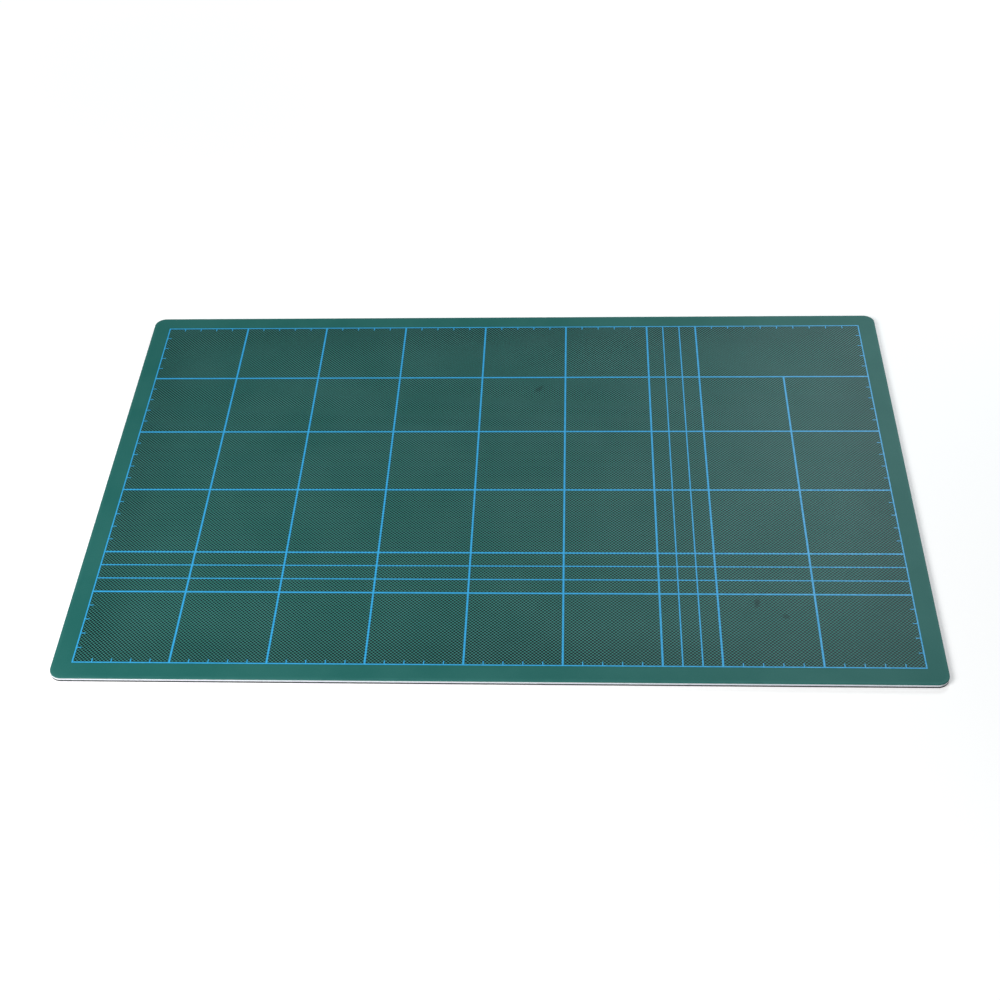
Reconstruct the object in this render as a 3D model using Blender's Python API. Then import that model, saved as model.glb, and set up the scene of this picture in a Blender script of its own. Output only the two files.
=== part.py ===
"""Self-healing cutting mat: three laminated plies with a screen of fine dots and a centimetre grid on top.

Metres, +Z up. The origin is the middle of the underside. +X runs along the long side to the right,
and +Y runs away from the user.
"""

import math

import bmesh
import bpy
from mathutils import Matrix

MM = 0.001

# Printed grid
SQUARE = 50 * MM
STRIP = 10 * MM
COLUMNS = [SQUARE] * 6 + [STRIP] * 3 + [SQUARE] * 2  # from the left side
ROWS = [SQUARE] * 4 + [STRIP] * 3 + [SQUARE]  # from the back side
BLANK_COLUMNS = 2  # the last columns of the back row share one blank field
FRAME_LINE = 0.7 * MM
HEAVY_LINE = 1.0 * MM
FINE_LINE = 0.7 * MM  # between two strips
GRADUATION = 10 * MM  # pitch of the ticks inside the frame
TICK_LENGTH = 2.2 * MM  # from the frame line's inner side
TICK_WIDTH = 0.5 * MM
LINE_INK = 0.04 * MM  # thickness
DOT_INK = 0.02 * MM

# Plies
MARGIN = 10.5 * MM  # from the frame line's middle to the mat's side
CORNER_RADIUS = 6.5 * MM
TOP_PLY = 0.7 * MM
CORE_PLY = 1.0 * MM
BOTTOM_PLY = 1.2 * MM
RIM_RADIUS = 0.25 * MM  # the die rounds the outer rims
BOND_GAP = 0.01 * MM  # hairline between two layers

# Fineness of the round stretches
CORNER_SEGMENTS = 12
RIM_SEGMENTS = 3

# Layer heights, from the underside up
BOTTOM_TOP = BOTTOM_PLY
CORE_BASE = BOTTOM_TOP + BOND_GAP
CORE_TOP = CORE_BASE + CORE_PLY
TOP_BASE = CORE_TOP + BOND_GAP
TOP_TOP = TOP_BASE + TOP_PLY
DOTS_BASE = TOP_TOP + BOND_GAP
LINES_BASE = DOTS_BASE + DOT_INK + BOND_GAP

PRINT_LENGTH = sum(COLUMNS)
PRINT_WIDTH = sum(ROWS)
MAT_LENGTH = PRINT_LENGTH + 2 * MARGIN
MAT_WIDTH = PRINT_WIDTH + 2 * MARGIN


def clear_scene():
    for thing in list(bpy.data.objects):
        bpy.data.objects.remove(thing, do_unlink=True)


def linear(channel):
    """A channel of 0 to 255 as seen on a screen, as the linear value that a shader takes."""
    c = channel / 255
    return c / 12.92 if c <= 0.04045 else ((c + 0.055) / 1.055) ** 2.4


def plastic(name, red, green, blue, roughness):
    material = bpy.data.materials.new(name)
    material.use_nodes = True
    shader = material.node_tree.nodes["Principled BSDF"]
    shader.inputs["Base Color"].default_value = (linear(red), linear(green), linear(blue), 1)
    shader.inputs["Roughness"].default_value = roughness
    shader.inputs["Metallic"].default_value = 0
    return material


def slab(length, width, base, thickness):
    """A plain sheet over the origin."""
    middle = Matrix.Translation((0, 0, base + thickness / 2))
    size = Matrix.Diagonal((length, width, thickness, 1))
    sheet = bmesh.new()
    bmesh.ops.create_cube(sheet, size=1, matrix=middle @ size)
    return sheet


def finished(name, shape, material=None):
    mesh = bpy.data.meshes.new(name)
    shape.to_mesh(mesh)
    shape.free()
    mesh.shade_smooth()
    mesh.set_sharp_from_angle(angle=math.radians(40))
    if material is not None:
        mesh.materials.append(material)
    return bpy.data.objects.new(name, mesh)


def ply(name, base, thickness, material, rounded_rim=None):
    """A rounded sheet. rounded_rim is the height of the rim that the die has rounded, if any."""
    sheet = slab(MAT_LENGTH, MAT_WIDTH, base, thickness)
    corners = [e for e in sheet.edges if abs(e.verts[0].co.z - e.verts[1].co.z) > thickness / 2]
    bmesh.ops.bevel(
        sheet, geom=corners, offset=CORNER_RADIUS, segments=CORNER_SEGMENTS, profile=0.5, affect="EDGES"
    )
    if rounded_rim is not None:
        rim = [e for e in sheet.edges if all(abs(v.co.z - rounded_rim) < thickness / 2 for v in e.verts)]
        bmesh.ops.bevel(
            sheet, geom=rim, offset=RIM_RADIUS, segments=RIM_SEGMENTS, profile=0.5, affect="EDGES"
        )
    return finished(name, sheet, material)


def line_places(pitches, start, direction):
    """Where the lines between the pitches run, the frame's two included."""
    places = [start]
    for pitch in pitches:
        places.append(places[-1] + direction * pitch)
    return places


def line_widths(pitches):
    """Between the frame's two lines, a fine line where strips lie on both sides, and else a heavy one."""
    inner = [
        FINE_LINE if before == after == STRIP else HEAVY_LINE
        for before, after in zip(pitches, pitches[1:])
    ]
    return [FRAME_LINE] + inner + [FRAME_LINE]


def tick_places(first, last):
    """The graduations between two lines, but not on them."""
    steps = round(abs(last - first) / GRADUATION)
    toward = GRADUATION if last > first else -GRADUATION
    return [first + toward * step for step in range(1, steps)]


def side(start, end, inward, ticks):
    """Points of an opening's side from start up to end, which is left out.

    inward points into the opening, where a notch of the outline draws each tick.
    """
    along = 0 if start[0] != end[0] else 1
    across = 1 - along
    forward = 1 if end[along] > start[along] else -1
    points = [start]
    for place in sorted(ticks, key=lambda t: t * forward):
        for offset, reach in ((-1, 0), (-1, 1), (1, 1), (1, 0)):
            point = [0.0, 0.0]
            point[along] = place + forward * offset * TICK_WIDTH / 2
            point[across] = start[across] + inward[across] * reach * TICK_LENGTH
            points.append(tuple(point))
    return points


def opening_outlines():
    """One outline for each opening between the lines, with the frame's ticks as notches."""
    xs = line_places(COLUMNS, -PRINT_LENGTH / 2, 1)
    ys = line_places(ROWS, PRINT_WIDTH / 2, -1)
    x_widths = line_widths(COLUMNS)
    y_widths = line_widths(ROWS)
    outlines = []
    for row in range(len(ROWS)):
        column = 0
        while column < len(COLUMNS):
            blank = row == 0 and column == len(COLUMNS) - BLANK_COLUMNS
            after = column + (BLANK_COLUMNS if blank else 1)
            left = xs[column] + x_widths[column] / 2
            right = xs[after] - x_widths[after] / 2
            back = ys[row] - y_widths[row] / 2
            front = ys[row + 1] + y_widths[row + 1] / 2
            across = tick_places(xs[column], xs[after])
            down = tick_places(ys[row], ys[row + 1])
            outlines.append(
                side((left, front), (right, front), (0, 1), across if row == len(ROWS) - 1 else [])
                + side((right, front), (right, back), (-1, 0), down if after == len(COLUMNS) else [])
                + side((right, back), (left, back), (0, -1), across if row == 0 else [])
                + side((left, back), (left, front), (1, 0), down if column == 0 else [])
            )
            column = after
    return outlines


def prisms(outlines, base, height):
    """One closed upright prism on each outline."""
    block = bmesh.new()
    for points in outlines:
        floor = block.faces.new([block.verts.new((x, y, base)) for x, y in points])
        risen = bmesh.ops.extrude_face_region(block, geom=[floor])["geom"]
        bmesh.ops.translate(
            block, verts=[v for v in risen if isinstance(v, bmesh.types.BMVert)], vec=(0, 0, height)
        )
    bmesh.ops.recalc_face_normals(block, faces=block.faces)
    return block


def grid(name, material, cutters):
    """The lines, as one film of ink up to the frame's outer side, with its openings cut through."""
    film = finished(
        name, slab(PRINT_LENGTH + FRAME_LINE, PRINT_WIDTH + FRAME_LINE, LINES_BASE, LINE_INK), material
    )
    cutter = finished(name + "_openings", prisms(opening_outlines(), LINES_BASE - LINE_INK, 3 * LINE_INK))
    cutter.hide_render = True
    cutter.display_type = "WIRE"
    cutters.objects.link(cutter)
    cut = film.modifiers.new("openings", "BOOLEAN")
    cut.operation = "DIFFERENCE"
    cut.solver = "EXACT"
    cut.object = cutter
    return film


def main():
    clear_scene()
    green = plastic("green_pvc", 44, 112, 106, 0.55)
    white = plastic("white_core", 236, 238, 240, 0.5)
    charcoal = plastic("charcoal_backing", 52, 55, 60, 0.6)
    dotted = plastic("dotted_green", 36, 84, 80, 0.55)
    blue = plastic("blue_ink", 58, 168, 226, 0.45)

    mat = bpy.data.collections.new("cutting_mat")
    cutters = bpy.data.collections.new("cutters")
    for collection in (mat, cutters):
        bpy.context.scene.collection.children.link(collection)
    for piece in (
        ply("bottom_ply", 0, BOTTOM_PLY, charcoal, rounded_rim=0),
        ply("core_ply", CORE_BASE, CORE_PLY, white),
        ply("top_ply", TOP_BASE, TOP_PLY, green, rounded_rim=TOP_TOP),
        finished("dot_print", slab(PRINT_LENGTH, PRINT_WIDTH, DOTS_BASE, DOT_INK), dotted),
        grid("grid_print", blue, cutters),
    ):
        mat.objects.link(piece)


main()
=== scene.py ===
"""Looks of the cutting mat: its finishes, the screen of fine dots, the floor, the light and the camera.

Metres, in the part's own frame: +X to the user's right, +Y away from the user, +Z up.
"""

import math

import bmesh
import bpy
from mathutils import Euler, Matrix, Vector

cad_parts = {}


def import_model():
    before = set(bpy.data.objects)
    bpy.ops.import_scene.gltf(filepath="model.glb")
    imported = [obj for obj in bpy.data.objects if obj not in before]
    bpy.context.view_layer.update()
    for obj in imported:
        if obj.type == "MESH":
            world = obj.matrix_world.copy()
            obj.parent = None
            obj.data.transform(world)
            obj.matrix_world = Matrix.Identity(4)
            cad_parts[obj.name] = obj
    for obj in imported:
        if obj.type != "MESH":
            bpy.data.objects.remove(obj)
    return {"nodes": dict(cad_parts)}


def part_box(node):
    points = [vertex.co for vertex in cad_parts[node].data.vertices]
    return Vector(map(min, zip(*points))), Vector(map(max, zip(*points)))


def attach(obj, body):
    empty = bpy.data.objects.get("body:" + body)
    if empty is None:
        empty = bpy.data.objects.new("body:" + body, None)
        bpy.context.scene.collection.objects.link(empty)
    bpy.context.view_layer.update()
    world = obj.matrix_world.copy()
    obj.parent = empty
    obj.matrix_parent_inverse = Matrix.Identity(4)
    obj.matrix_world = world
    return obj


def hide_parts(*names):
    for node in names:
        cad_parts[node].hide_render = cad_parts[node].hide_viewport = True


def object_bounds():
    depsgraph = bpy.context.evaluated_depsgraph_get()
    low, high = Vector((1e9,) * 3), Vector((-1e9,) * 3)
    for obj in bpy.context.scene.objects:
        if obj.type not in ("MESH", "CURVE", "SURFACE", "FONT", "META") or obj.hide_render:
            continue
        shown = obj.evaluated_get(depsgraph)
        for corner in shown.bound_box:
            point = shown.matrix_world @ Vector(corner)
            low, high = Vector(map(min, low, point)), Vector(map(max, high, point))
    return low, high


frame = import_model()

MM = 0.001
CAD_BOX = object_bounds()
BODY = "root"

# Screen of dots, laid in fields that meet under grid lines
DOT_PITCH = 1.392 * MM  # along both diagonals
DOT_RADIUS = 0.587 * MM
DOT_EDGE = 0.05 * MM  # half the width of the soft edge
FRAME_DOT_RADIUS = 0.622 * MM  # beside the frame, where the screen prints denser
DENSE_REACH = 35 * MM  # in from the frame
SQUARE = 50 * MM
FIELD_COLUMNS = (2, 4, 6)  # squares from the screen's left side to each joint
FIELD_ROWS = (2, 4)  # squares from its back side
TOP_FACE = 5  # a field's other faces are 0 to 4
SIDE_STRIP = 0.02  # share of a field's map for those other faces

# Rubbed spots: place, length, width, turn in degrees and strength
SMUDGES = (
    ((0.0193, 0.0790), 8.0 * MM, 3.2 * MM, 48, 0.42),
    ((0.1351, -0.0959), 3.2 * MM, 8.0 * MM, -10, 0.5),
    ((0.1490, -0.1057), 4.0 * MM, 4.0 * MM, 30, 0.4),
)
SMUDGE_FADE = (0.4, 1.25)  # from and to, in halves of a spot's length and width

# Worn sides of the top ply
CORNER_RADIUS = 6.5 * MM
WORN_WIDTH = 2.5 * MM

# Colours from 0 to 255, as they show on a screen. A pair runs from the deepest shade to the palest
MARGIN_GREENS = ((31, 98, 92), (43, 106, 100))
WORN_GREEN = (56, 118, 112)
FIELD_GREENS = ((58, 128, 120), (72, 137, 130))
DOT_BLACK = (1, 9, 9)
SMUDGE_BLACK = (6, 16, 20)
LINE_BLUES = ((44, 156, 212), (59, 172, 228))
CORE_WHITES = ((230, 236, 244), (242, 246, 252))
CHARCOALS = ((36, 38, 43), (52, 55, 61))

# Size of the lumps in each finish
GREEN_GRAIN = 0.35 * MM
GREEN_CLOUD = 45 * MM
WORN_PATCH = 9 * MM
SMUDGE_RAG = 1.5 * MM
INK_PATCH = 1.1 * MM
CUT_GRAIN = 0.5 * MM
PEBBLE = 0.9 * MM
PEBBLE_GRAIN = 0.4 * MM
NOISE_SPAN = (0.3, 0.7)  # holds nearly all values of soft noise

# Depth of the relief in each finish
GREEN_RELIEF = 0.02 * MM
DOT_RELIEF = 0.015 * MM
INK_RELIEF = 0.01 * MM
CUT_RELIEF = 0.05 * MM
PEBBLE_RELIEF = 0.05 * MM
DOT_RISE = 1.2  # of a dot over the ply, against the grain's

# Gloss of the gridded field
FIELD_SHINE = 0.14  # between the dots
DOT_SHINE = 0.34
FIELD_TINT = (0.8, 0.95, 1.0, 1)

# Floor and surroundings
FLOOR_RADIUS = 5.0
FLOOR_RIM = 0.8
FLOOR_GREY = (0.8, 0.8, 0.8, 1)
GLOW_REACH = (0.2, 1.4)  # distances from the middle, between which the glow grows
GLOW_STRENGTH = (0.36, 0.97)  # at those two distances
WHITE = (1, 1, 1, 1)
SKY_STRENGTH = 0.1

# Camera
CAMERA_PLACE = (0.0423, -0.6958, 0.6342)
CAMERA_DOWN = math.radians(42.88)
CAMERA_TURN = math.radians(4.73)
CAMERA_ROLL = math.radians(-3.15)
CAMERA_LENS = 60.04
CAMERA_SENSOR = 36.0
CAMERA_SHIFT = 0.0235


def linear(channel):
    """A channel of 0 to 255 as it shows on a screen, as the linear value that a shader takes."""
    c = channel / 255
    return c / 12.92 if c <= 0.04045 else ((c + 0.055) / 1.055) ** 2.4


def colour(shown):
    red, green, blue = shown
    return (linear(red), linear(green), linear(blue), 1.0)


def new_material(name, roughness, shine=0.5):
    material = bpy.data.materials.new(name)
    material.use_nodes = True
    shader = material.node_tree.nodes["Principled BSDF"]
    shader.inputs["Roughness"].default_value = roughness
    shader.inputs["Specular IOR Level"].default_value = shine
    return material, material.node_tree, shader


def node(tree, kind, inputs=(), **settings):
    """A shader node. inputs pairs a socket's name or number with a value or with another node's output."""
    made = tree.nodes.new("ShaderNode" + kind)
    for name, value in settings.items():
        setattr(made, name, value)
    for key, value in dict(inputs).items():
        if isinstance(value, bpy.types.NodeSocket):
            tree.links.new(value, made.inputs[key])
        else:
            made.inputs[key].default_value = value
    return made


def number(tree, operation, a, b=0.0):
    return node(tree, "Math", {0: a, 1: b}, operation=operation).outputs[0]


def vector(tree, operation, a, b=(0, 0, 0)):
    return node(tree, "VectorMath", {0: a, 1: b}, operation=operation).outputs[0]


def length(tree, a):
    return node(tree, "VectorMath", {0: a}, operation="LENGTH").outputs["Value"]


def mix(tree, factor, a, b):
    return node(tree, "Mix", {0: factor, 6: a, 7: b}, data_type="RGBA").outputs[2]


def shades(tree, factor, pair):
    deep, pale = pair
    return mix(tree, factor, colour(deep), colour(pale))


def ramp(tree, value, low, high, start=0.0, end=1.0):
    """Eases from start to end as value goes from low to high."""
    limits = {"Value": value, "From Min": low, "From Max": high, "To Min": start, "To Max": end}
    return node(tree, "MapRange", limits, interpolation_type="SMOOTHSTEP").outputs["Result"]


def here(tree):
    return node(tree, "TexCoord").outputs["Object"]


def mapped(tree, where, place=(0, 0, 0), turn=0.0, size=(1, 1, 1)):
    """where, measured from place, in directions turned by turn degrees, in units of size."""
    moved = vector(tree, "SUBTRACT", where, place)
    turned = node(tree, "VectorRotate", {"Vector": moved, "Angle": -math.radians(turn)}).outputs[0]
    return vector(tree, "DIVIDE", turned, size)


def noise(tree, where, size, detail=2.0):
    """Soft noise from 0 to 1, with lumps of about the given size."""
    settings = {"Vector": where, "Scale": 1 / size, "Detail": detail, "Roughness": 0.55}
    return node(tree, "TexNoise", settings).outputs["Fac"]


def bump(tree, shader, height, depth, strength=0.4):
    made = node(tree, "Bump", {"Height": height, "Strength": strength, "Distance": depth})
    tree.links.new(made.outputs["Normal"], shader.inputs["Normal"])


def green_base(tree, where, pair):
    """The green of the ply, in a pair of shades, and the grain that its colour and its bump share."""
    grain = noise(tree, where, GREEN_GRAIN)
    cloud = noise(tree, where, GREEN_CLOUD, detail=4)
    cloudy = ramp(tree, cloud, *NOISE_SPAN, 0.3, 1.0)
    grainy = ramp(tree, grain, 0.3, 0.75, 0.0, -0.5)
    return shades(tree, number(tree, "ADD", cloudy, grainy), pair), grain


def from_sides(tree, where, box, reach):
    """How far in from the sides of a box over the origin a point lies, up to reach.

    The box's corners count as round.
    """
    half = (box[1] - box[0]) / 2
    core = (half.x - reach, half.y - reach, 1.0)
    folded = vector(tree, "ABSOLUTE", where)
    past = vector(tree, "MAXIMUM", vector(tree, "SUBTRACT", folded, core))
    return number(tree, "SUBTRACT", reach, length(tree, past))


def green_pvc():
    material, tree, shader = new_material("green_pvc", roughness=0.52, shine=0.21)
    where = here(tree)
    base, grain = green_base(tree, where, MARGIN_GREENS)
    patchy = ramp(tree, noise(tree, where, WORN_PATCH, detail=3), *NOISE_SPAN, 0.2, 0.5)
    inward = from_sides(tree, where, CAD_BOX, CORNER_RADIUS)
    worn = number(tree, "MULTIPLY", ramp(tree, inward, 0.0, WORN_WIDTH, 1.0, 0.0), patchy)
    base = mix(tree, worn, base, colour(WORN_GREEN))
    tree.links.new(base, shader.inputs["Base Color"])
    bump(tree, shader, grain, GREEN_RELIEF)
    return material


def dots(tree, where):
    """1 inside the printed dots and 0 between them. The dots grow toward the frame."""
    units = (DOT_PITCH,) * 3
    lattice = node(
        tree,
        "TexVoronoi",
        {"Vector": mapped(tree, where, turn=45, size=units), "Scale": 1.0, "Randomness": 0.0},
        voronoi_dimensions="2D",
    )
    inward = from_sides(tree, where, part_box("dot_print"), DENSE_REACH)
    widest, usual, edge = FRAME_DOT_RADIUS / DOT_PITCH, DOT_RADIUS / DOT_PITCH, DOT_EDGE / DOT_PITCH
    radius = ramp(tree, inward, 0.0, DENSE_REACH, widest, usual)
    inner = number(tree, "SUBTRACT", radius, edge)
    outer = number(tree, "ADD", radius, edge)
    return ramp(tree, lattice.outputs["Distance"], inner, outer, 1.0, 0.0)


def smudges(tree, where):
    """How dark the rubbed spots are, from 0 to 1."""
    rags = node(tree, "TexNoise", {"Vector": where, "Scale": 1 / SMUDGE_RAG, "Detail": 3.0})
    ragged = vector(tree, "SUBTRACT", rags.outputs["Color"], (0.5, 0.5, 0.5))
    darkest = None
    for (x, y), long, wide, turn, strength in SMUDGES:
        spot = mapped(tree, where, (x, y, 0), turn, (long / 2, wide / 2, 1))
        flat = vector(tree, "MULTIPLY", vector(tree, "ADD", spot, ragged), (1, 1, 0))
        dark = ramp(tree, length(tree, flat), *SMUDGE_FADE, strength, 0.0)
        darkest = dark if darkest is None else number(tree, "MAXIMUM", darkest, dark)
    return darkest


def dotted_green():
    material, tree, shader = new_material("dotted_green", roughness=0.5)
    shader.inputs["Specular Tint"].default_value = FIELD_TINT
    where = here(tree)
    base, grain = green_base(tree, where, FIELD_GREENS)
    print_cover = dots(tree, where)
    base = mix(tree, print_cover, base, colour(DOT_BLACK))
    base = mix(tree, smudges(tree, where), base, colour(SMUDGE_BLACK))
    tree.links.new(base, shader.inputs["Base Color"])
    shine = ramp(tree, print_cover, 0.0, 1.0, FIELD_SHINE, DOT_SHINE)
    tree.links.new(shine, shader.inputs["Specular IOR Level"])
    height = number(tree, "ADD", grain, number(tree, "MULTIPLY", print_cover, DOT_RISE))
    bump(tree, shader, height, DOT_RELIEF)
    return material


def blue_ink():
    material, tree, shader = new_material("blue_ink", roughness=0.45, shine=0.33)
    where = here(tree)
    patchy = noise(tree, where, INK_PATCH, detail=4)
    base = shades(tree, ramp(tree, patchy, *NOISE_SPAN), LINE_BLUES)
    tree.links.new(base, shader.inputs["Base Color"])
    tree.links.new(ramp(tree, patchy, *NOISE_SPAN, 0.5, 0.4), shader.inputs["Roughness"])
    bump(tree, shader, patchy, INK_RELIEF)
    return material


def white_core():
    material, tree, shader = new_material("white_core", roughness=0.6)
    where = here(tree)
    cut = noise(tree, where, CUT_GRAIN, detail=4)
    base = shades(tree, ramp(tree, cut, *NOISE_SPAN), CORE_WHITES)
    tree.links.new(base, shader.inputs["Base Color"])
    bump(tree, shader, cut, CUT_RELIEF)
    return material


def charcoal():
    material, tree, shader = new_material("charcoal_backing", roughness=0.6)
    where = here(tree)
    pebbles = node(tree, "TexVoronoi", {"Vector": where, "Scale": 1 / PEBBLE}, feature="SMOOTH_F1")
    grain = number(tree, "ADD", pebbles.outputs["Distance"], noise(tree, where, PEBBLE_GRAIN))
    base = shades(tree, ramp(tree, grain, 0.5, 1.3), CHARCOALS)
    tree.links.new(base, shader.inputs["Base Color"])
    bump(tree, shader, grain, PEBBLE_RELIEF)
    return material


def finish(name, material):
    piece = frame["nodes"][name]
    piece.data.materials.clear()
    piece.data.materials.append(material)


def field_map(mesh, low, high):
    """Lays the top face over the whole map, but for a strip that holds the other faces side by side."""
    places = mesh.uv_layers.new(name="OFBake").data
    for face in mesh.polygons:
        across = max(range(3), key=lambda axis: abs(face.normal[axis]))
        side = 2 * across + (face.normal[across] > 0)
        along, up = [axis for axis in range(3) if axis != across]
        for corner in face.loop_indices:
            point = mesh.vertices[mesh.loops[corner].vertex_index].co
            u = (point[along] - low[along]) / (high[along] - low[along])
            v = (point[up] - low[up]) / (high[up] - low[up])
            if side == TOP_FACE:
                places[corner].uv = (u, SIDE_STRIP + (1 - SIDE_STRIP) * v)
            else:
                places[corner].uv = ((side + u) / TOP_FACE, SIDE_STRIP / 2 * v)


def field(name, low, high, material):
    """One panel of the screen, between two opposite corners."""
    shape = bmesh.new()
    bmesh.ops.create_cube(shape, size=1)
    middle = (low + high) / 2
    for v in shape.verts:
        v.co = middle + v.co * (high - low)
    mesh = bpy.data.meshes.new(name)
    shape.to_mesh(mesh)
    shape.free()
    field_map(mesh, low, high)
    mesh.materials.append(material)
    return bpy.data.objects.new(name, mesh)


def dot_screen(material):
    low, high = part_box("dot_print")
    xs = [low.x] + [low.x + SQUARE * n for n in FIELD_COLUMNS] + [high.x]
    ys = [high.y] + [high.y - SQUARE * n for n in FIELD_ROWS] + [low.y]
    for row, (back, front) in enumerate(zip(ys, ys[1:]), 1):
        for column, (left, right) in enumerate(zip(xs, xs[1:]), 1):
            piece = field(
                f"dot_print_row{row}_column{column}",
                Vector((left, front, low.z)),
                Vector((right, back, high.z)),
                material,
            )
            bpy.context.scene.collection.objects.link(piece)
            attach(piece, BODY)
            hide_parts("dot_print")


def floor_material():
    """Pale grey, with a glow that makes it show as white.

    The lamps light the floor near the mat, so it glows less there, and the mat's shadow stays.
    """
    material, tree, shader = new_material("floor", roughness=0.9, shine=0.0)
    shader.inputs["Base Color"].default_value = FLOOR_GREY
    path = node(tree, "LightPath")
    seen = number(tree, "MAXIMUM", path.outputs["Is Camera Ray"], path.outputs["Is Glossy Ray"])
    seen = number(tree, "MAXIMUM", seen, path.outputs["Is Transmission Ray"])
    away = length(tree, here(tree))
    glow = number(tree, "MULTIPLY", seen, ramp(tree, away, *GLOW_REACH, *GLOW_STRENGTH))
    shader.inputs["Emission Color"].default_value = WHITE
    tree.links.new(glow, shader.inputs["Emission Strength"])
    return material


def floor():
    """A pale round floor. Its rim stands up, so that low views end on it too."""
    shape = bmesh.new()
    bmesh.ops.create_circle(shape, cap_ends=True, radius=FLOOR_RADIUS, segments=128)
    rim = bmesh.ops.extrude_edge_only(shape, edges=shape.edges[:])["geom"]
    bmesh.ops.translate(
        shape, verts=[v for v in rim if isinstance(v, bmesh.types.BMVert)], vec=(0, 0, FLOOR_RIM)
    )
    mesh = bpy.data.meshes.new("floor")
    shape.to_mesh(mesh)
    shape.free()
    mesh.materials.append(floor_material())
    plane = bpy.data.objects.new("floor", mesh)
    bpy.context.scene.collection.objects.link(plane)


def world():
    sky = bpy.data.worlds.new("studio")
    bpy.context.scene.world = sky
    sky.use_nodes = True
    background = sky.node_tree.nodes["Background"]
    background.inputs["Color"].default_value = WHITE
    background.inputs["Strength"].default_value = SKY_STRENGTH


def lamp(name, azimuth, elevation, distance, size, power, tint=(1, 1, 1)):
    """A round soft lamp that points at the mat, in degrees, metres and watts.

    Azimuth 0 is straight behind the mat, and 90 to its right.
    """
    light = bpy.data.lights.new(name, "AREA")
    light.shape = "DISK"
    light.size = size
    light.energy = power
    light.color = tint
    made = bpy.data.objects.new(name, light)
    turn, rise = math.radians(azimuth), math.radians(elevation)
    place = Vector((math.sin(turn) * math.cos(rise), math.cos(turn) * math.cos(rise), math.sin(rise)))
    made.location = place * distance
    made.rotation_euler = place.to_track_quat("Z", "Y").to_euler()
    bpy.context.scene.collection.objects.link(made)


def camera():
    data = bpy.data.cameras.new("camera")
    data.lens = CAMERA_LENS
    data.sensor_width = CAMERA_SENSOR
    data.shift_x = CAMERA_SHIFT
    made = bpy.data.objects.new("camera", data)
    made.location = CAMERA_PLACE
    look = Euler((math.pi / 2 - CAMERA_DOWN, 0, CAMERA_TURN)).to_matrix()
    roll = Euler((0, 0, CAMERA_ROLL)).to_matrix()
    made.rotation_euler = (look @ roll).to_euler()
    bpy.context.scene.collection.objects.link(made)
    bpy.context.scene.camera = made


bpy.context.scene.view_settings.view_transform = "Standard"
finish("top_ply", green_pvc())
finish("core_ply", white_core())
finish("bottom_ply", charcoal())
finish("grid_print", blue_ink())
dot_screen(dotted_green())
floor()
world()
lamp("key", azimuth=225, elevation=39, distance=1.12, size=0.61, power=12.9)
lamp("sheen", azimuth=31, elevation=40, distance=0.93, size=0.31, power=3.1, tint=(0.88, 0.97, 1.0))
camera()
